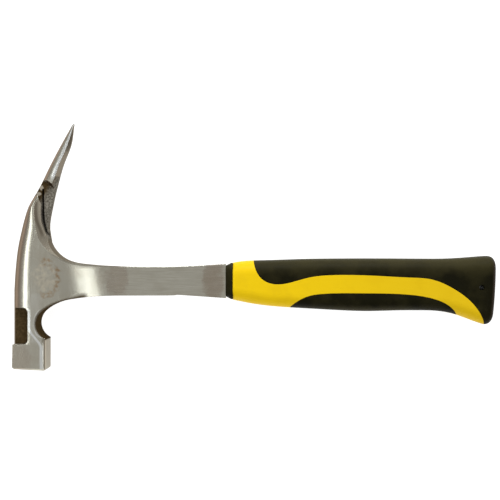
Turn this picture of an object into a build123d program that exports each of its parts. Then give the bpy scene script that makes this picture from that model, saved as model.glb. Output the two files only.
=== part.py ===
from build123d import *
import math
import os

# Steel pick hammer with a moulded two-colour grip, lying on its cheek.
# Millimetres. X runs along the handle to the butt, Y along the head to the pick's tip, Z is the
# thickness. While it is built, the handle's axis crosses the striking axis at the origin and Z = 0 is
# the middle plane; at the end everything moves so the origin is the bottom centre of the whole hammer.

# Head
HEAD_THICKNESS = 23.0          # cheek to cheek
OUTER_REACH = 11.3             # striking axis to the head's outer side
FACE_DROP = 59.8               # handle axis down to the striking face
BLOCK_WIDTH = 22.2             # striking block, along the handle
BLOCK_HEIGHT = 17.6            # striking face up to the pocket's lower wall
SHOULDER_HEIGHT = 21.0         # striking face up to the shoulder on the handle's side
FACE_TILT = 3.0                # degrees the striking face leans away from the handle
FACE_CHAMFER = 1.2
FACE_FLARE = 0.3               # how much further out the block reaches at its face
BLOCK_ROUND = 2.4              # long edges of the block on the handle's side
NECK_WIDTH = 15.8              # narrowest part of the head, above the block
NECK_DROP = 28.0               # handle axis down to the narrowest part

# Pick
TIP_RISE = 105.8               # handle axis up to the pick's tip
TIP_LEAN = 28.2                # striking axis to the tip, towards the handle
TIP_WIDTH = 1.2
TIP_THICKNESS = 2.4
DRAWN_RISE = 105.8             # the rise and lean the table of sections was drawn for
DRAWN_LEAN = 28.2
SPINE_START = -6.0             # height where the head starts to bend into the pick
LOFT_STEPS = 30                # level slices of the pick

# Nail-holder pocket, one in each cheek
POCKET_WIDTH = 10.4
POCKET_HEIGHT = 24.4
POCKET_DEPTH = 4.6
POCKET_CORNER = 3.0

# Nail puller in the upper cheek
PULLER_FLOOR = 4.2             # height of its floor above the middle plane
PULLER_SLOT_FLOOR = -3.0       # height of the V-slot's floor
PULLER_TOP = 66.5              # handle axis up to its upper end
PULLER_HEEL = 28.4             # handle axis up to the heel of the V-slot
PULLER_HEEL_X = 12.4           # striking axis to the heel
PULLER_SLOPE = 0.75            # how far its upper wall leans for each millimetre of height
LIP_RISE = 54.5                # handle axis up to the lip's point

# Shank and tang
SHANK_WIDTH = 19.2
SHANK_THICKNESS = 9.5
SHANK_END_WIDTH = 23.0         # where the shank meets the collar
SHANK_END = 131.2              # striking axis to the end of the bare shank
BLEND_START = 19.0             # the cheeks start to thin here
BLEND_END = 56.0               # and reach the shank's thickness here
CROWN_SLOPE = (0.76, 0.24, -0.60)   # way the cheek slopes down towards the crown
BLEND_TURN = 12.0              # degrees the blend is turned, seen on the cheek
TANG_WIDTH = 15.0
TANG_THICKNESS = 8.5
TANG_LENGTH = 150.0
TANG_CLEARANCE = 0.15

# Grip
COLLAR_LENGTH = 4.7
COLLAR_WIDTH = 24.4
COLLAR_THICKNESS = 18.6
COLLAR_CHAMFER = 1.8
COLLAR_BAND = 1.2              # straight part at its back
GRIP_LENGTH = 175.8            # from the collar to the butt
GRIP_THICKNESS = 25.5          # in the palm
DRAWN_LENGTH = 175.8           # the length and thickness the table of sections was drawn for
DRAWN_THICKNESS = 25.5
GRIP_STEPS = 16                # upright slices of the grip
GRIP_ROUND = 9.0               # corner radius of the grip's section
BUTT_ROUND = 5.0
BUTT_SLANT = 3.4               # how far the butt's lower corner lies behind its upper one
BUTT_ABOVE = 30.0              # the leaning end is drawn from this far above the handle axis
BUTT_BELOW = 36.0              # to this far below it
SKIN = 2.6                     # thickness of the soft panels
SEAM = 0.3                     # gap left between a soft panel and the hard core
CORE_LENGTH = 161.0            # hard core, from the collar; beyond it the butt is all soft
HOLE_DIAMETER = 3.4            # lanyard hole
HOLE_TO_BUTT = 9.9
HOLE_DROP = 4.2

HALF_HEAD = HEAD_THICKNESS / 2
HALF_SHANK = SHANK_WIDTH / 2
HALF_BLOCK = BLOCK_WIDTH / 2
BLOCK_TOP = BLOCK_HEIGHT - FACE_DROP
SHOULDER_TOP = SHOULDER_HEIGHT - FACE_DROP
NECK_EDGE = NECK_WIDTH - OUTER_REACH
GRIP_START = SHANK_END + COLLAR_LENGTH
GRIP_END = GRIP_START + GRIP_LENGTH
OPEN = 10.0                    # how far a cutting tool runs past the surface it cuts
OVERLAP = 1.0                  # how far joined shapes reach into each other
FAR = 400.0                    # longer than the hammer, for cutting tools


def mirrored(tool):
    """A tool together with its mirror image on the far cheek."""
    return tool + mirror(tool, about=Plane.XY)


def head_section(height, outer, inner, half_thickness, roll, ridge, wall):
    """One level section of the head: rolled outer side, flat cheek, bevel, straight inner wall.

    outer and inner are the section's two sides, roll is how far the outer side takes to curve into
    the cheek, ridge is the width left flat, wall is the share of the inner side that stays straight.
    """
    start = outer + roll
    end = start + ridge
    low = half_thickness * wall
    soft = outer + 0.34 * roll
    side = 0.62 * half_thickness
    edges = [
        Bezier((outer, 0), (outer, side), (soft, half_thickness), (start, half_thickness)),
        Line((start, half_thickness), (end, half_thickness)),
        Line((end, half_thickness), (inner, low)),
        Line((inner, low), (inner, -low)),
        Line((inner, -low), (end, -half_thickness)),
        Line((end, -half_thickness), (start, -half_thickness)),
        Bezier((start, -half_thickness), (soft, -half_thickness), (outer, -side), (outer, 0)),
    ]
    return Plane.XZ.offset(-height) * make_face(edges)


def smooth(rows, height):
    """The row of values at a height, on smooth curves that pass through every row."""
    index = max(i for i in range(len(rows) - 1) if rows[i][0] <= height)
    low, high = rows[index], rows[index + 1]
    before = rows[max(index - 1, 0)]
    after = rows[min(index + 2, len(rows) - 1)]
    step = high[0] - low[0]
    t = (height - low[0]) / step
    values = []
    for column in range(1, len(low)):
        rise_in = (high[column] - before[column]) / (high[0] - before[0]) * step
        rise_out = (after[column] - low[column]) / (after[0] - low[0]) * step
        values.append(
            (2 * t**3 - 3 * t**2 + 1) * low[column] + (t**3 - 2 * t**2 + t) * rise_in
            + (3 * t**2 - 2 * t**3) * high[column] + (t**3 - t**2) * rise_out
        )
    return values


def head_spine():
    """The head from the block to the pick's tip: a straight lower part, then a loft up the pick."""
    lean = TIP_LEAN / DRAWN_LEAN
    rise = TIP_RISE / DRAWN_RISE
    tip = TIP_WIDTH / 2
    # height, outer side, inner side, half thickness, roll, ridge, wall
    rows = [
        (SPINE_START, -OUTER_REACH - 0.3, NECK_EDGE, HALF_HEAD, 12.4, 2.0, 1.0),
        (8 * rise, 0.6 - OUTER_REACH, 8.0, HALF_HEAD, 11.5, 5.0, 0.95),
        (22 * rise, -9.1 * lean, 12.5 * lean, HALF_HEAD, 10.6, 5.6, 0.75),
        (36 * rise, -6.1 * lean, 11.2 * lean, HALF_HEAD - 0.1, 9.2, 1.3, 0.60),
        (43 * rise, -4.2 * lean, 12.0 * lean, HALF_HEAD - 0.4, 6.8, 0.7, 0.56),
        (50 * rise, -1.7 * lean, 13.6 * lean, HALF_HEAD - 1.1, 4.0, 0.8, 0.50),
        (57 * rise, 2.2 * lean, 15.2 * lean, HALF_HEAD - 2.2, 4.4, 0.8, 0.46),
        (64 * rise, 5.9 * lean, 17.1 * lean, HALF_HEAD - 3.4, 7.4, 0.8, 0.42),
        (78 * rise, 12.6 * lean, 21.2 * lean, HALF_HEAD - 5.6, 5.9, 0.6, 0.40),
        (92 * rise, 19.9 * lean, 26.7 * lean, HALF_HEAD - 7.9, 4.2, 0.5, 0.40),
        (TIP_RISE, TIP_LEAN - tip, TIP_LEAN + tip, TIP_THICKNESS / 2, tip, 0.2, 0.40),
    ]
    step = (TIP_RISE - SPINE_START) / LOFT_STEPS
    heights = [SPINE_START + step * i for i in range(LOFT_STEPS)] + [TIP_RISE]
    sections = [head_section(height, *smooth(rows, height)) for height in heights]
    lower = extrude(sections[0], SPINE_START - BLOCK_TOP, dir=(0, -1, 0))
    return lower + loft(sections, ruled=True)


def arm_outline():
    """The shank and the webs that carry it into the head, seen along Z."""
    throat = ThreePointArc((HALF_BLOCK, SHOULDER_TOP), (NECK_EDGE, -NECK_DROP - 0.6), (8.2, -20.3))
    web = Spline(
        throat @ 1, (17.5, -14.8), (33.6, -11.2), (62.0, -HALF_SHANK - 0.2), (97.0, -HALF_SHANK),
        (SHANK_END, -SHANK_END_WIDTH / 2),
        tangents=[throat % 1, (1.0, -0.07)],
    )
    crown = Spline(
        (SHANK_END, SHANK_END_WIDTH / 2), (97.0, HALF_SHANK), (62.0, HALF_SHANK + 0.2), (38.0, 11.2),
        (21.6, 15.0), (15.2, 20.7), (11.9, 27.6), (11.2, 34.0),
        tangents=[(-1.0, -0.07), (0.0, 1.0)],
    )
    shoulder = Line(web @ 1, crown @ 0)
    inside = Polyline(
        crown @ 1, (4.2, 34.0), (2.6, 24.0), (1.2, SPINE_START), (1.2, SHOULDER_TOP), throat @ 0,
    )
    return make_face([throat, web, shoulder, crown, inside])


def arm_thickness():
    """Envelope of the arm's thickness: full at the head, blending down to the shank."""
    half = SHANK_THICKNESS / 2
    level = [(1, 0), (1, 0)]
    blend = Spline((BLEND_START, HALF_HEAD), (BLEND_END, half), tangents=level)
    rest = Polyline(blend @ 1, (FAR, half), (FAR, 0), (-FAR, 0), (-FAR, HALF_HEAD), blend @ 0)
    middle = (BLEND_START + BLEND_END) / 2
    turn = Pos(middle, 0, 0) * Rot(0, 0, BLEND_TURN) * Pos(-middle, 0, 0)
    return turn * mirrored(extrude(Plane.XZ * make_face([blend, rest]), FAR, both=True))


def crown_bevel():
    """Tool that slopes the cheek down towards the crown of the arm, on the near cheek."""
    edge = Spline((3.6, 42.0), (6.6, 28.0), (13.0, 20.3), (20.3, 15.6), (32.0, 11.0))
    beyond = SHANK_END / 2
    outside = Polyline(edge @ 1, (beyond, 11.0), (beyond, 42.0), edge @ 0)
    region = Plane.XY.offset(HALF_HEAD) * make_face([edge, outside])
    return extrude(region, HALF_HEAD + 2.5, dir=CROWN_SLOPE)


def arm():
    """The shank and its webs at their true thickness, bevelled along the crown."""
    outline = extrude(arm_outline(), HALF_HEAD, both=True)
    return (outline & arm_thickness()) - mirrored(crown_bevel())


def block():
    """The square striking block, rounded on the handle's side, chamfered round its face."""
    lean = (OUTER_REACH + HALF_BLOCK) * math.tan(math.radians(FACE_TILT))
    step = NECK_EDGE - 2.5
    outline = Polyline(
        (FACE_FLARE - OUTER_REACH, BLOCK_TOP), (-OUTER_REACH, lean - FACE_DROP),
        (HALF_BLOCK, -FACE_DROP), (HALF_BLOCK, SHOULDER_TOP), (step, SHOULDER_TOP),
        (step, BLOCK_TOP), close=True,
    )
    body = extrude(make_face(outline), HALF_HEAD, both=True)
    corners = body.edges().filter_by(Axis.Y).group_by(Axis.X)[-1]
    body = fillet(corners, BLOCK_ROUND)
    face = body.faces().sort_by(Axis.Y)[0]
    return chamfer(face.edges(), FACE_CHAMFER)


def pocket():
    """Tool for the nail-holder pocket of the near cheek, open to the outer side."""
    width = POCKET_WIDTH + OPEN
    right = POCKET_WIDTH - OUTER_REACH
    centre = (right - width / 2, BLOCK_TOP + POCKET_HEIGHT / 2)
    floor = Plane.XY.offset(HALF_HEAD - POCKET_DEPTH)
    outline = RectangleRounded(width, POCKET_HEIGHT, POCKET_CORNER)
    return extrude(floor * Pos(*centre) * outline, POCKET_DEPTH + OPEN)


def nail_puller():
    """Tool for the nail puller of the near cheek: a low floor with a narrow deep slot by the lip."""
    heel = (PULLER_HEEL_X, PULLER_HEEL)
    waist = PULLER_HEEL + 6.4
    lip_side = Spline(heel, (9.2, waist), (7.4, 43.0), (7.6, LIP_RISE - 6.0))
    beyond = PULLER_HEEL_X + 2 * OPEN
    wall_end = (17.2, PULLER_TOP - 6.0)
    rest = Polyline(
        lip_side @ 1, (6.3, LIP_RISE - 4.0), (5.2, LIP_RISE), (-2.0, LIP_RISE + 2.5),
        (-2.0, PULLER_TOP + 4.5), (10.3, PULLER_TOP), wall_end, (beyond, wall_end[1]),
        (beyond, PULLER_HEEL), heel,
    )
    floor = Plane.XY.offset(PULLER_FLOOR) * make_face([lip_side, rest])
    low = extrude(floor, HEAD_THICKNESS, dir=(0, PULLER_SLOPE, 1))
    slot_top = PULLER_TOP - 4.5
    blade_side = Spline((9.0, slot_top), (9.1, 46.0), (10.8, waist), (PULLER_HEEL_X + 0.8, PULLER_HEEL))
    mouth = Polyline(lip_side @ 1, (7.6, slot_top), blade_side @ 0)
    slot = make_face([lip_side, mouth, blade_side, Line(blade_side @ 1, heel)])
    deep = extrude(Plane.XY.offset(PULLER_SLOT_FLOOR) * slot, HEAD_THICKNESS)
    return low + deep


def tang(clearance=0.0):
    """The flat bar that carries the grip; with a clearance it is the tool for its socket."""
    width = TANG_WIDTH + 2 * clearance
    thickness = TANG_THICKNESS + 2 * clearance
    length = TANG_LENGTH + clearance + OVERLAP
    return Pos(SHANK_END - OVERLAP + length / 2, 0, 0) * Box(length, width, thickness)


def forging():
    """The one-piece steel head, pick, shank and hidden tang."""
    body = head_spine() + arm() + block()
    return body - mirrored(pocket()) - nail_puller() + tang()


def grip_section(x, top, bottom, thickness, inset):
    """One upright section of the grip, shrunk by an inset all round."""
    corner = min(GRIP_ROUND, 0.46 * thickness) - inset
    outline = RectangleRounded(top - bottom - 2 * inset, thickness - 2 * inset, corner)
    return Plane.YZ.offset(x) * Pos((top + bottom) / 2, 0) * outline


def grip_solid(inset, start, end):
    """The grip's body between two distances from the collar, shrunk by an inset all round."""
    scale = GRIP_LENGTH / DRAWN_LENGTH
    girth = GRIP_THICKNESS / DRAWN_THICKNESS
    # distance from the collar, top, bottom, thickness
    rows = [
        (-2 * scale, 12.0, -12.3, 19.6 * girth),
        (11 * scale, 13.7, -14.9, 22.0 * girth),
        (26 * scale, 14.1, -16.9, 23.4 * girth),
        (51 * scale, 14.9, -18.5, 24.8 * girth),
        (87 * scale, 15.2, -20.2, 25.5 * girth),
        (116 * scale, 15.1, -19.7, 25.4 * girth),
        (140 * scale, 15.0, -20.3, 25.0 * girth),
        (152 * scale, 15.5, -23.3, 25.0 * girth),
        (165 * scale, 16.5, -28.0, 25.4 * girth),
        (184 * scale, 17.8, -34.0, 26.0 * girth),
    ]
    step = (end - start) / GRIP_STEPS
    places = [start + step * i for i in range(GRIP_STEPS + 1)]
    sections = [grip_section(GRIP_START + x, *smooth(rows, x), inset) for x in places]
    return loft(sections)


def butt_end():
    """Everything ahead of the slightly bowed, leaning butt end."""
    top = (GRIP_END - 0.3, BUTT_ABOVE)
    bottom = (GRIP_END - BUTT_SLANT, -BUTT_BELOW)
    end = ThreePointArc(top, (GRIP_END, 0.0), bottom)
    rest = Polyline(bottom, (0.0, -BUTT_BELOW), (0.0, BUTT_ABOVE), top)
    return extrude(make_face([end, rest]), GRIP_THICKNESS, both=True)


def grip_body():
    """The whole outside of the grip, rounded at the butt."""
    body = grip_solid(0, 0, GRIP_LENGTH + BUTT_ROUND) & butt_end()
    rim = body.faces().sort_by(Axis.X)[-1].edges()
    return fillet(rim, BUTT_ROUND)


def back_region():
    """The area of the panel along the grip's back and round its butt."""
    points = [
        (13.9, 16.0), (15.2, 8.0), (19.5, 1.4), (28.0, -2.0), (38.0, -1.0), (50.0, 2.3),
        (70.0, 4.2), (95.0, 3.7), (118.0, 2.5), (133.0, 1.1), (146.6, -4.7), (156.5, -11.6),
        (164.0, -20.2), (170.0, -36.0),
    ]
    edge = grip_line(points)
    low = edge @ 1
    high = edge @ 0
    rest = Polyline(low, (FAR, low.Y), (FAR, -low.Y), (high.X, -low.Y), high)
    return make_face([edge, rest])


def belly_region():
    """The area of the panel along the grip's belly."""
    points = [
        (35.0, -21.5), (41.5, -14.6), (50.0, -10.1), (60.0, -8.4), (85.0, -8.0), (119.0, -9.1),
        (133.0, -11.5), (143.0, -15.6), (151.5, -25.5),
    ]
    edge = grip_line(points)
    low = edge @ 1
    high = edge @ 0
    return make_face([edge, Polyline(low, (low.X, -FAR), (high.X, -FAR), high)])


def grip_line(points):
    """A smooth line over the grip, its points given as distance from the collar and height."""
    scale = GRIP_LENGTH / DRAWN_LENGTH
    return Spline([(GRIP_START + x * scale, y) for x, y in points])


def grip_hole():
    """Tool for the lanyard hole through the butt."""
    place = Pos(GRIP_END - HOLE_TO_BUTT, -HOLE_DROP, 0)
    return place * Cylinder(HOLE_DIAMETER / 2, 2 * GRIP_THICKNESS)


def soft_panel(body, region):
    """A soft panel: the grip's skin over one area, down to its seat on the core."""
    inside = grip_solid(SKIN, -OVERLAP, CORE_LENGTH)
    return (body & extrude(region, GRIP_THICKNESS, both=True)) - inside


def core(body):
    """The hard core: full size where it shows, a skin smaller under the soft panels."""
    back = extrude(back_region(), GRIP_THICKNESS, both=True)
    belly = extrude(belly_region(), GRIP_THICKNESS, both=True)
    inside = grip_solid(SKIN + SEAM, 0, CORE_LENGTH - SEAM)
    return (body - back - belly) + inside - tang(TANG_CLEARANCE)


def collar():
    """The soft ring between the bare shank and the grip, tapered towards the shank."""
    narrow = COLLAR_WIDTH - 2 * COLLAR_CHAMFER
    thin = COLLAR_THICKNESS - 3 * COLLAR_CHAMFER
    front = Plane.YZ.offset(SHANK_END) * RectangleRounded(narrow, thin, 0.3 * thin)
    back = Plane.YZ.offset(GRIP_START - COLLAR_BAND) * RectangleRounded(
        COLLAR_WIDTH, COLLAR_THICKNESS, 0.3 * COLLAR_THICKNESS
    )
    return loft([front, back]) + extrude(back, COLLAR_BAND) - tang(TANG_CLEARANCE)


def hammer():
    """Every piece of the hammer by name."""
    body = grip_body()
    return {
        "head_and_shank": forging(),
        "grip_core": core(body),
        "grip_back_panel": soft_panel(body, back_region()) - grip_hole(),
        "grip_belly_panel": soft_panel(body, belly_region()),
        "grip_collar": collar(),
    }


def bottom_centre(pieces):
    """Middle of the underside of the box round all the pieces."""
    boxes = [piece.bounding_box() for piece in pieces]
    low = [min(tuple(box.min)[axis] for box in boxes) for axis in range(3)]
    high = [max(tuple(box.max)[axis] for box in boxes) for axis in range(3)]
    return Vector((low[0] + high[0]) / 2, (low[1] + high[1]) / 2, low[2])


def main():
    os.makedirs("parts", exist_ok=True)
    pieces = hammer()
    home = bottom_centre(pieces.values())
    print("bottom centre", home)
    for name, piece in pieces.items():
        export_step(Pos(-home) * piece, f"parts/{name}.step")
        print(name, round(piece.volume))


if __name__ == "__main__":
    main()
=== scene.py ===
import bpy
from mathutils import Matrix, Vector


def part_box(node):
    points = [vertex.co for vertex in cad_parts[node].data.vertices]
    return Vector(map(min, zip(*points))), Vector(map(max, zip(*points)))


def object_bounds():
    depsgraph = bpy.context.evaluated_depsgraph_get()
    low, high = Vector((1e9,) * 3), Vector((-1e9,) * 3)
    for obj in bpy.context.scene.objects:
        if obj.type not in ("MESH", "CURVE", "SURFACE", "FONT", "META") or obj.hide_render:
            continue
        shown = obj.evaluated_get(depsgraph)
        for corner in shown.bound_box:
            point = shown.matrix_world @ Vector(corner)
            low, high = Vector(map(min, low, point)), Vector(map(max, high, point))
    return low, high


# The scene is in metres. The hammer lies on its far cheek on a pale floor, its handle along +X.
# Materials are placed in millimetres from the point where the handle's axis crosses the striking
# axis, on the hammer's middle plane: x along the handle, y up the head, z towards the camera.

MILLIMETRE = 0.001
VIEW_DISTANCE = 0.800       # camera to the hammer's middle plane
FRAME_WIDTH = 0.338         # width of the middle plane that fills the frame
VIEW_CENTRE = (-0.00276, -0.00218)
SENSOR = 36.0

OUTER_REACH = 0.0113        # striking axis to the outer side of the striking block
HALF_HEAD = 11.5            # half of the head's thickness, in millimetres like all that follow
POCKET_RIGHT = -0.9         # the nail-holder pocket's closed side
POCKET_LOW = -42.2
POCKET_HIGH = -17.8
POCKET_FLOOR = 6.6
PULLER_LOW = 28.4           # heel of the nail puller's slot
PULLER_HIGH = 70.0          # top of its upper wall
PULLER_FLOOR = 4.2


# ---------------------------------------------------------------- node helpers

class Shader:
    """A material's node tree with short ways to add and join nodes."""

    def __init__(self, name, origin):
        self.material = bpy.data.materials.new(name)
        self.material.use_nodes = True
        self.nodes = self.material.node_tree.nodes
        self.links = self.material.node_tree.links
        self.surface = self.nodes["Principled BSDF"]
        coordinates = self.add("ShaderNodeTexCoord")
        shift = self.add("ShaderNodeVectorMath", operation="SUBTRACT")
        self.feed(shift.inputs[0], coordinates.outputs["Object"])
        shift.inputs[1].default_value = origin
        grow = self.add("ShaderNodeVectorMath", operation="SCALE")
        self.feed(grow.inputs[0], shift.outputs[0])
        grow.inputs["Scale"].default_value = 1 / MILLIMETRE
        self.place = grow.outputs[0]
        self.x, self.y, self.z = self.parts(self.place)
        self.facing_x, self.facing_y, self.facing_z = self.parts(coordinates.outputs["Normal"])

    def add(self, kind, **settings):
        node = self.nodes.new(kind)
        for name, value in settings.items():
            setattr(node, name, value)
        return node

    def feed(self, socket, value):
        """Joins a node's output to a socket, or sets the socket to a plain value."""
        if isinstance(value, bpy.types.NodeSocket):
            self.links.new(value, socket)
        else:
            socket.default_value = value

    def set(self, **values):
        """Sets or joins the surface's own inputs, their names with underscores for spaces."""
        for name, value in values.items():
            self.feed(self.surface.inputs[name.replace("_", " ")], value)

    def parts(self, vector):
        node = self.add("ShaderNodeSeparateXYZ")
        self.feed(node.inputs[0], vector)
        return node.outputs

    def math(self, operation, first, second=0.0):
        node = self.add("ShaderNodeMath", operation=operation)
        self.feed(node.inputs[0], first)
        self.feed(node.inputs[1], second)
        return node.outputs[0]

    def product(self, *values):
        result = values[0]
        for value in values[1:]:
            result = self.math("MULTIPLY", result, value)
        return result

    def either(self, *values):
        result = values[0]
        for value in values[1:]:
            result = self.math("MAXIMUM", result, value)
        return result

    def inverse(self, value):
        return self.math("SUBTRACT", 1.0, value)

    def noise(self, size, stretch=(1, 1, 1), detail=4.0, roughness=0.55, warp=0.0):
        """Fractal noise whose features are about size millimetres, longer along an axis by stretch."""
        squeeze = self.add("ShaderNodeVectorMath", operation="MULTIPLY")
        self.feed(squeeze.inputs[0], self.place)
        squeeze.inputs[1].default_value = tuple(1 / factor for factor in stretch)
        node = self.add("ShaderNodeTexNoise")
        self.feed(node.inputs["Vector"], squeeze.outputs[0])
        node.inputs["Scale"].default_value = 1 / size
        node.inputs["Detail"].default_value = detail
        node.inputs["Roughness"].default_value = roughness
        node.inputs["Distortion"].default_value = warp
        return node.outputs["Fac"]

    def span(self, value, low, high, out_low=0.0, out_high=1.0):
        """Maps a value from one span to another, easing at both ends."""
        node = self.add("ShaderNodeMapRange", interpolation_type="SMOOTHSTEP")
        self.feed(node.inputs["Value"], value)
        node.inputs["From Min"].default_value = low
        node.inputs["From Max"].default_value = high
        node.inputs["To Min"].default_value = out_low
        node.inputs["To Max"].default_value = out_high
        return node.outputs["Result"]

    def between(self, value, low, high, blur=0.3):
        """One between two limits and zero beyond them, easing over the blur at each."""
        rise = self.span(value, low - blur, low + blur)
        fall = self.span(value, high - blur, high + blur, 1.0, 0.0)
        return self.product(rise, fall)

    def oval(self, centre_x, centre_y, reach_x, reach_y, ragged=0.0, size=6.0):
        """Squared distance from a spot on the cheek, one at an oval's edge, waved by noise."""
        along = self.math("DIVIDE", self.math("SUBTRACT", self.x, centre_x), reach_x)
        across = self.math("DIVIDE", self.math("SUBTRACT", self.y, centre_y), reach_y)
        squares = self.math("ADD", self.product(along, along), self.product(across, across))
        waves = self.math("MULTIPLY", self.math("SUBTRACT", self.noise(size), 0.5), ragged)
        return self.math("ADD", squares, waves)

    def patch(self, centre_x, centre_y, reach_x, reach_y, ragged=0.0, size=6.0):
        """One inside a ragged oval spot on the cheek, fading to zero at its edge."""
        distance = self.oval(centre_x, centre_y, reach_x, reach_y, ragged, size)
        return self.span(distance, 0.35, 1.0, 1.0, 0.0)

    def mix(self, share, first, second):
        node = self.add("ShaderNodeMix", data_type="RGBA")
        self.feed(node.inputs["Factor"], share)
        self.feed(node.inputs[6], first)
        self.feed(node.inputs[7], second)
        return node.outputs[2]

    def blend(self, share, first, second):
        """A plain number between two others, by share."""
        node = self.add("ShaderNodeMix", data_type="FLOAT")
        self.feed(node.inputs[0], share)
        self.feed(node.inputs[2], first)
        self.feed(node.inputs[3], second)
        return node.outputs[0]

    def soft_edges(self, radius):
        """The surface's normal with every sharp edge turned as if rounded, radius in millimetres."""
        node = self.add("ShaderNodeBevel", samples=6)
        node.inputs["Radius"].default_value = radius * MILLIMETRE
        return node.outputs["Normal"]

    def bump(self, height, strength, depth, normal):
        """Tilts the normal as if the surface rose by depth millimetres where height is one."""
        node = self.add("ShaderNodeBump")
        node.inputs["Strength"].default_value = strength
        node.inputs["Distance"].default_value = depth * MILLIMETRE
        self.feed(node.inputs["Height"], height)
        self.feed(node.inputs["Normal"], normal)
        return node.outputs["Normal"]


def colour(red, green, blue):
    return (red, green, blue, 1.0)


# ---------------------------------------------------------------- materials

def brushed_metal(steel, scratches):
    """Clean metal: warm grey between a dark and a pale tone by scratch, then dulled by soft clouds."""
    contrast = steel.blend(steel.on_shank, 0.30, 1.0)
    streaks = steel.product(steel.span(scratches, 0.3, 0.7), contrast)
    clouds = steel.noise(9.0, (1.6, 1.6, 1), detail=3.0)
    metal = steel.mix(streaks, colour(0.52, 0.50, 0.425), colour(0.61, 0.59, 0.51))
    return steel.mix(steel.span(clouds, 0.35, 0.75, 0.0, 0.5), metal, colour(0.47, 0.43, 0.345))


def tarnish_and_roll_shade_share(steel):
    """How brown the metal is: painted shade on the outer roll by how far it turns outwards, and three
    soft tarnished spots.
    """
    # Painted shade: the outer roll browns as it turns outwards, standing in for the dark surroundings
    # it mirrors.
    roll = steel.product(
        steel.span(steel.facing_x, -0.66, -0.22, 1.0, 0.0),
        steel.span(steel.y, -43.0, -41.0),
    )
    return steel.either(
        steel.product(roll, 0.9),
        steel.product(steel.patch(58.0, 0.0, 9.0, 16.0, 2.0), 0.4),
        steel.product(steel.patch(123.0, 0.0, 8.0, 18.0, 2.0), 0.5),
        steel.product(steel.patch(-9.0, -54.0, 14.0, 16.0, 1.0), 0.35),
    )


def painted_shade_share(steel):
    """Painted shade, darkest brown: the roll's outermost rim and the pick's bevelled side, by the way
    they face.
    """
    rim = steel.product(
        steel.span(steel.facing_x, -0.93, -0.62, 1.0, 0.0),
        steel.span(steel.y, -43.0, -41.0),
        0.55,
    )
    pick_bevel = steel.product(
        steel.span(steel.facing_x, 0.10, 0.35),
        steel.span(steel.y, 56.0, 62.0),
    )
    return steel.product(steel.either(rim, pick_bevel), 0.85)


def stained(steel, metal):
    """The cheek's stain: a ragged oval, paler in patches inside, with a broken rust line round it."""
    stain = steel.oval(11.0, 1.5, 10.5, 13.0, 1.5, 5.0)
    cleaned = steel.product(
        steel.span(stain, 0.3, 0.95, 0.5, 0.0),
        steel.span(steel.z, 9.0, 11.0),
        steel.span(steel.noise(3.0, detail=4.0), 0.35, 0.65),
    )
    rust_line = steel.product(
        steel.between(stain, 0.50, 1.02, 0.25),
        steel.span(steel.x, 5.0, 12.0),
        steel.cheek,
        steel.span(steel.noise(2.2, detail=5.0, roughness=0.7), 0.40, 0.62, 0.0, 0.85),
    )
    metal = steel.mix(cleaned, metal, colour(0.74, 0.67, 0.53))
    return steel.mix(rust_line, metal, colour(0.38, 0.24, 0.12))


def painted_highlights(steel, lean, near_throat):
    """Painted highlights as bright lines: the throat's rim, the neck's ridge down to the block, the
    pick's ridge.

    The neck's ridge is a line whose place along the handle eases outwards as it nears the block.
    """
    rim = steel.product(
        near_throat,
        steel.between(lean, 0.01, 0.09, 0.02),
        steel.span(steel.x, 10.0, 5.0),
    )
    ridge_place = steel.span(steel.y, -31.0, -45.0, 0.4, 8.5)
    off_ridge = steel.math("SUBTRACT", steel.x, ridge_place)
    neck_ridge = steel.product(
        steel.between(off_ridge, -0.9, 1.0, 0.9),
        steel.span(steel.y, -12.0, -26.0),
        steel.span(steel.facing_z, 0.85, 0.95),
        0.85,
    )
    pick_ridge = steel.product(
        steel.span(steel.facing_z, 0.94, 0.985),
        steel.span(steel.y, 66.0, 71.0),
    )
    return steel.product(steel.either(rim, neck_ridge, pick_ridge), 0.9)


def beside_puller(steel, metal):
    """The crown wall beside the slot: painted shade on the wall, with a painted highlight band and a
    painted shade line along the slot.

    The slot's place along the handle is a constant plus the square of an eased height.
    """
    # Painted shade on the crown wall, by the way it faces.
    crown = steel.product(
        steel.span(steel.facing_z, 0.86, 0.97, 1.0, 0.0),
        steel.span(steel.facing_x, 0.05, 0.25),
        steel.between(steel.y, 12.0, 60.0, 3.0),
        0.45,
    )
    curl = steel.math("POWER", steel.span(steel.y, 50.0, PULLER_LOW), 2.0)
    slot_place = steel.math("ADD", steel.product(curl, 4.4), 8.0)
    off_slot = steel.math("SUBTRACT", slot_place, steel.x)
    wall = steel.product(
        steel.between(steel.y, PULLER_LOW + 2.0, 54.0, 2.5),
        steel.span(steel.z, PULLER_FLOOR + 0.3, PULLER_FLOOR + 1.2),
        0.55,
    )
    # Painted highlight on the lip's wall beside the slot, then painted shade in the slot's undercut.
    painted_light_share = steel.product(steel.between(off_slot, 0.2, 1.9, 0.5), wall)
    shaded = steel.product(steel.between(off_slot, 2.4, 4.2, 0.6), wall)
    metal = steel.mix(crown, metal, colour(0.25, 0.19, 0.13))
    metal = steel.mix(painted_light_share, metal, colour(0.55, 0.48, 0.38))
    return steel.mix(shaded, metal, colour(0.12, 0.085, 0.05))


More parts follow.
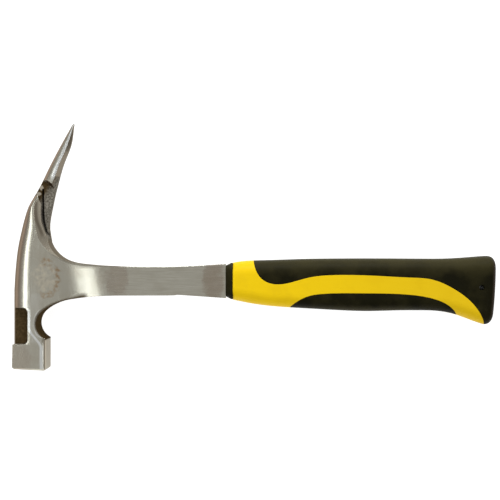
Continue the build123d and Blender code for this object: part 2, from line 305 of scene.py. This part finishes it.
def forged_skin_and_rim_shade_share(steel, lean, rise, near_throat):
    """Where the dark forged skin is left: pockets, throat and inner curve; on their rounded rims the
    same dark tone is painted shade.
    """
    pocket = steel.product(
        steel.span(steel.x, POCKET_RIGHT - 0.3, POCKET_RIGHT + 0.5, 1.0, 0.0),
        steel.between(steel.y, POCKET_LOW, POCKET_HIGH, 0.4),
        steel.between(steel.math("ABSOLUTE", steel.z), POCKET_FLOOR, HALF_HEAD - 0.25, 0.1),
    )
    side_wall = steel.span(steel.math("ABSOLUTE", steel.facing_z), 0.55, 0.85, 1.0, 0.0)
    throat = steel.product(
        side_wall,
        steel.between(steel.x, 0.0, 32.0, 1.5),
        steel.between(steel.y, -39.2, -9.0, 0.6),
    )
    # Painted shade on the rims where they round into the throat and the inner curve.
    throat_rim = steel.product(near_throat, steel.span(lean, 0.08, 0.30))
    inner_curve = steel.product(
        side_wall,
        steel.between(steel.x, 7.0, 44.0, 3.0),
        steel.between(steel.y, 9.2, 60.0, 0.8),
        0.7,
    )
    curve_rim = steel.product(
        steel.span(rise, 0.10, 0.35),
        steel.between(steel.x, 12.0, 60.0, 3.0),
        steel.between(steel.y, 8.8, 30.0, 1.0),
        steel.span(steel.facing_z, 0.70, 0.90),
        0.7,
    )
    return steel.either(pocket, throat, throat_rim, inner_curve, curve_rim)


def puller_share(steel):
    """Where the nail puller is: below its walls' height, facing anywhere but outwards."""
    return steel.product(
        steel.span(steel.z, PULLER_FLOOR + 0.2, PULLER_FLOOR + 5.5, 1.0, 0.0),
        steel.between(steel.y, PULLER_LOW - 1.0, PULLER_HIGH, 1.0),
        steel.span(steel.facing_x, -0.45, -0.2),
        steel.span(steel.z, -4.0, -3.0),
    )


def puller_colour(steel, grain, skin_and_shade_tone):
    """Coarse grey floor by grain, painted shade in the dark skin tone above a slanting line, two
    painted glints on the lip.
    """
    coarse = steel.mix(
        steel.span(grain, 0.35, 0.65),
        colour(0.075, 0.065, 0.048),
        colour(0.28, 0.255, 0.215),
    )
    # Painted shade: the floor's upper part, turned away from the light, takes the dark tone.
    above = steel.span(steel.math("ADD", steel.y, steel.product(steel.x, -1.6)), 38.0, 46.0)
    # Painted glints on the lip's edges.
    lip_glints = steel.either(
        steel.patch(7.6, 62.6, 1.5, 1.9, 0.8, 1.2),
        steel.patch(5.6, 58.6, 2.0, 1.5, 0.8, 1.2),
    )
    tone = steel.mix(above, coarse, skin_and_shade_tone)
    return steel.mix(steel.product(lip_glints, 0.8), tone, colour(0.42, 0.37, 0.30))


def ground_steel(origin):
    """Ground and brushed steel of the head, pick and shank.

    Base colour: brushed metal, then brown tarnished spots with painted shade on the outer roll,
    painted shade on the roll's rim and the pick's bevel, the stain, painted highlights on edges
    and ridges, painted shade on the block's rounded edge, the crown wall's painted shade and the
    slot's painted highlight and shade, and last the forged skin, with painted shade on its rims,
    and the nail puller, with painted shade and glints, each laid over the one before by its share.
    Forged skin and puller aren't metallic and are rough. The normal is softened at every edge,
    most round the neck, then tilted by scratches on metal or by grain on skin.
    at every edge, most round the neck, then tilted by scratches on metal or by grain on skin.
    """
    steel = Shader("ground_steel", origin)
    steel.on_shank = steel.span(steel.x, 24.0, 44.0)
    steel.cheek = steel.span(steel.facing_z, 0.90, 0.97)
    along = steel.noise(0.35, (40, 1, 1), detail=3.0)
    up = steel.noise(0.35, (1, 40, 1), detail=3.0)
    scratches = steel.blend(steel.on_shank, up, along)
    grain = steel.noise(1.3, detail=5.0, roughness=0.7)

    wide_edges = steel.soft_edges(2.4)
    lean_x, lean_y = steel.parts(wide_edges)[:2]
    lean = steel.math("SUBTRACT", lean_x, steel.product(lean_y, 0.8))
    rise = steel.math("ADD", lean_y, steel.product(lean_x, 0.5))
    near_throat = steel.product(
        steel.between(steel.x, 0.0, 38.0, 2.0),
        steel.between(steel.y, -41.0, -8.5, 1.5),
        steel.cheek,
    )
    # Painted shade: a dark band where the block's right edge rounds away from the cheek.
    block_corner = steel.product(
        steel.between(steel.facing_x, 0.45, 0.93, 0.05),
        steel.span(steel.y, -37.0, -40.0),
        0.6,
    )

    tarnish_and_roll_shade = tarnish_and_roll_shade_share(steel)
    metal = brushed_metal(steel, scratches)
    # Brown tarnished spots, and painted shade on the outer roll.
    metal = steel.mix(tarnish_and_roll_shade, metal, colour(0.25, 0.175, 0.125))
    # Painted shade on the roll's outermost rim and the pick's bevelled side.
    metal = steel.mix(painted_shade_share(steel), metal, colour(0.135, 0.105, 0.075))
    metal = stained(steel, metal)
    # Painted highlights on the throat's rim and along the neck's and the pick's ridges.
    metal = steel.mix(painted_highlights(steel, lean, near_throat), metal, colour(0.95, 0.97, 0.97))
    # Painted shade on the block's rounded right edge.
    metal = steel.mix(block_corner, metal, colour(0.22, 0.165, 0.11))
    metal = beside_puller(steel, metal)

    dark_skin_and_shade = colour(0.036, 0.023, 0.009)
    pale_skin_and_shade = colour(0.085, 0.056, 0.026)
    skin_and_shade_tone = steel.mix(steel.span(grain, 0.3, 0.7), dark_skin_and_shade, pale_skin_and_shade)
    # Forged skin in the hollows, with painted shade on their rounded rims.
    skin = forged_skin_and_rim_shade_share(steel, lean, rise, near_throat)
    in_puller = puller_share(steel)
    metal = steel.mix(skin, metal, skin_and_shade_tone)
    metal = steel.mix(in_puller, metal, puller_colour(steel, grain, skin_and_shade_tone))
    covered = steel.either(skin, in_puller)

    neck = steel.product(
        steel.between(steel.x, POCKET_RIGHT + 0.4, 9.0, 0.8),
        steel.between(steel.y, -40.0, -14.0, 3.0),
    )
    rounded = steel.mix(neck, steel.soft_edges(0.5), wide_edges)
    worn = steel.blend(tarnish_and_roll_shade, steel.span(scratches, 0.3, 0.7, 0.18, 0.24), 0.34)
    relief = steel.blend(covered, steel.product(scratches, 0.02), grain)
    steel.set(
        Base_Color=metal,
        Metallic=steel.inverse(covered),
        Roughness=steel.blend(covered, worn, 0.62),
        Normal=steel.bump(relief, 0.6, 0.12, rounded),
    )
    steel.surface.inputs["Specular IOR Level"].default_value = 0.0
    steel.surface.inputs["Specular Tint"].default_value = colour(0.50, 0.47, 0.43)
    return steel.material


def yellow_plastic(origin):
    """Hard satin plastic of the grip's core.

    Base colour: strong yellow, duller towards the butt, with faint cloudy handling marks. A fine
    moulded grain and shallow flow waves tilt the normal, and roughness follows the clouds.
    """
    skin = Shader("yellow_plastic", origin)
    clouds = skin.noise(14.0, detail=4.0)
    grain = skin.noise(0.5, detail=3.0)
    waves = skin.noise(18.0, (2.5, 1, 1), detail=1.0)
    ageing = skin.span(skin.x, 150.0, 300.0)
    fresh = skin.mix(ageing, colour(0.90, 0.595, 0.002), colour(0.80, 0.52, 0.004))
    handled = skin.mix(skin.span(clouds, 0.45, 0.75, 0.0, 0.45), fresh, colour(0.76, 0.48, 0.003))
    height = skin.math("ADD", skin.product(grain, 0.15), waves)
    skin.set(
        Base_Color=handled,
        Roughness=skin.span(clouds, 0.3, 0.7, 0.42, 0.52),
        Normal=skin.bump(height, 0.5, 0.25, skin.soft_edges(0.6)),
    )
    skin.surface.inputs["Specular IOR Level"].default_value = 0.10
    return skin.material


def black_rubber(name, origin):
    """Soft moulded rubber of the panels and the collar.

    Base colour: warm black between two tones by broad clouds, with a painted sheen, paler towards
    the back and the belly's edge, browner on the butt's end, with paler dust specks. A fine matt
    grain tilts the normal, and roughness follows the clouds.
    """
    skin = Shader(name, origin)
    clouds = skin.noise(16.0, detail=4.0)
    grain = skin.noise(0.35, detail=3.0, roughness=0.65)
    specks = skin.span(skin.noise(0.9, detail=2.0), 0.70, 0.78, 0.0, 0.35)
    dark = colour(0.0052, 0.0044, 0.0002)
    pale = colour(0.0088, 0.0074, 0.0008)
    fresh = skin.mix(skin.span(clouds, 0.3, 0.7), dark, pale)
    # Painted sheen: paler towards the back and along the belly's edge, with a random wobble from the
    # clouds.
    back = skin.span(skin.y, 0.0, 20.0)
    belly = skin.product(skin.span(skin.y, -20.5, -15.0, 0.7, 0.0), skin.span(skin.x, 270.0, 250.0))
    painted_light_share = skin.math("ADD", skin.either(back, belly), skin.span(clouds, 0.3, 0.7, -0.15, 0.15))
    tone = skin.mix(painted_light_share, fresh, colour(0.050, 0.042, 0.015))
    rim = skin.product(skin.span(skin.facing_x, 0.35, 0.8), skin.span(skin.x, 280.0, 300.0))
    tone = skin.mix(rim, tone, colour(0.028, 0.017, 0.008))
    dusted = skin.mix(specks, tone, colour(0.050, 0.045, 0.028))
    skin.set(
        Base_Color=dusted,
        Roughness=skin.span(clouds, 0.3, 0.7, 0.48, 0.60),
        Normal=skin.bump(grain, 0.5, 0.10, skin.soft_edges(0.6)),
    )
    skin.surface.inputs["Specular IOR Level"].default_value = 0.07
    return skin.material


# ---------------------------------------------------------------- stage

def add_floor():
    """Plain white paper that glows a little, so the hammer's shadow stays faint."""
    bpy.ops.mesh.primitive_plane_add(size=6.0)
    floor = bpy.context.object
    floor.name = "floor"
    paper = bpy.data.materials.new("floor_paper")
    paper.use_nodes = True
    surface = paper.node_tree.nodes["Principled BSDF"]
    surface.inputs["Base Color"].default_value = colour(0.50, 0.50, 0.50)
    surface.inputs["Roughness"].default_value = 0.9
    surface.inputs["Emission Color"].default_value = colour(1.0, 1.0, 1.0)
    surface.inputs["Emission Strength"].default_value = 0.85
    floor.data.materials.append(paper)


def add_area_light(name, place, target, size, power):
    """A softbox aimed at the target, its first size across the way it faces, in metres and watts."""
    light = bpy.data.lights.new(name, "AREA")
    light.shape = "RECTANGLE"
    light.size, light.size_y = size
    light.energy = power
    light.color = (0.93, 0.98, 1.0)
    lamp = bpy.data.objects.new(name, light)
    lamp.location = place
    lamp.rotation_euler = (Vector(target) - Vector(place)).to_track_quat("-Z", "Y").to_euler()
    bpy.context.scene.collection.objects.link(lamp)


def add_lights(middle):
    """Two long softboxes left and right of the camera, one behind the head, and a grey room."""
    left = middle + Vector((-0.84, 0.0, 1.15))
    right = middle + Vector((0.43, 0.0, 1.15))
    behind = middle + Vector((0.05, 1.45, 0.85))
    add_area_light("left_softbox", left, middle, (1.30, 0.50), 4.8)
    add_area_light("right_softbox", right, middle, (1.30, 0.18), 1.9)
    add_area_light("back_softbox", behind, middle, (1.20, 0.35), 16.0)
    world = bpy.data.worlds.new("studio")
    world.use_nodes = True
    background = world.node_tree.nodes["Background"]
    background.inputs["Color"].default_value = colour(1.0, 0.99, 0.96)
    background.inputs["Strength"].default_value = 0.47
    bpy.context.scene.world = world
    bpy.context.scene.view_settings.view_transform = "Standard"


def add_camera(target):
    """A camera straight above the target, framing FRAME_WIDTH at the hammer's middle plane."""
    camera = bpy.data.cameras.new("camera")
    camera.sensor_width = SENSOR
    camera.lens = SENSOR * VIEW_DISTANCE / FRAME_WIDTH
    camera.clip_end = 20.0
    viewer = bpy.data.objects.new("camera", camera)
    viewer.location = target + Vector((0, 0, VIEW_DISTANCE))
    viewer.rotation_euler = (0, 0, 0)
    bpy.context.scene.collection.objects.link(viewer)
    bpy.context.scene.camera = viewer


# ---------------------------------------------------------------- scene

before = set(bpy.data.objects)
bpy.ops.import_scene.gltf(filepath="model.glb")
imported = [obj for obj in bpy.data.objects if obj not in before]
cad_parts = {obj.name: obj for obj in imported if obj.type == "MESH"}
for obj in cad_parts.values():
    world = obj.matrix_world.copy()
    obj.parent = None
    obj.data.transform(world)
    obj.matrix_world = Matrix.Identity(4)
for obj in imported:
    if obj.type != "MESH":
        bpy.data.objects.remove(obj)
cad_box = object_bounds()
low, high = (Vector(corner) for corner in cad_box)
middle = (low + high) / 2

head_low, head_high = (Vector(corner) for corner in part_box("head_and_shank"))
collar_low, collar_high = (Vector(corner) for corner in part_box("grip_collar"))
origin = Vector((
    head_low.x + OUTER_REACH,
    (collar_low.y + collar_high.y) / 2,
    (head_low.z + head_high.z) / 2,
))

finishes = {
    "head_and_shank": ground_steel(origin),
    "grip_core": yellow_plastic(origin),
    "grip_back_panel": black_rubber("back_rubber", origin),
    "grip_belly_panel": black_rubber("belly_rubber", origin),
    "grip_collar": black_rubber("collar_rubber", origin),
}
for name, finish in finishes.items():
    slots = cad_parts[name].data.materials
    slots.clear()
    slots.append(finish)

add_floor()
add_lights(middle)
add_camera(Vector((*VIEW_CENTRE, origin.z)))
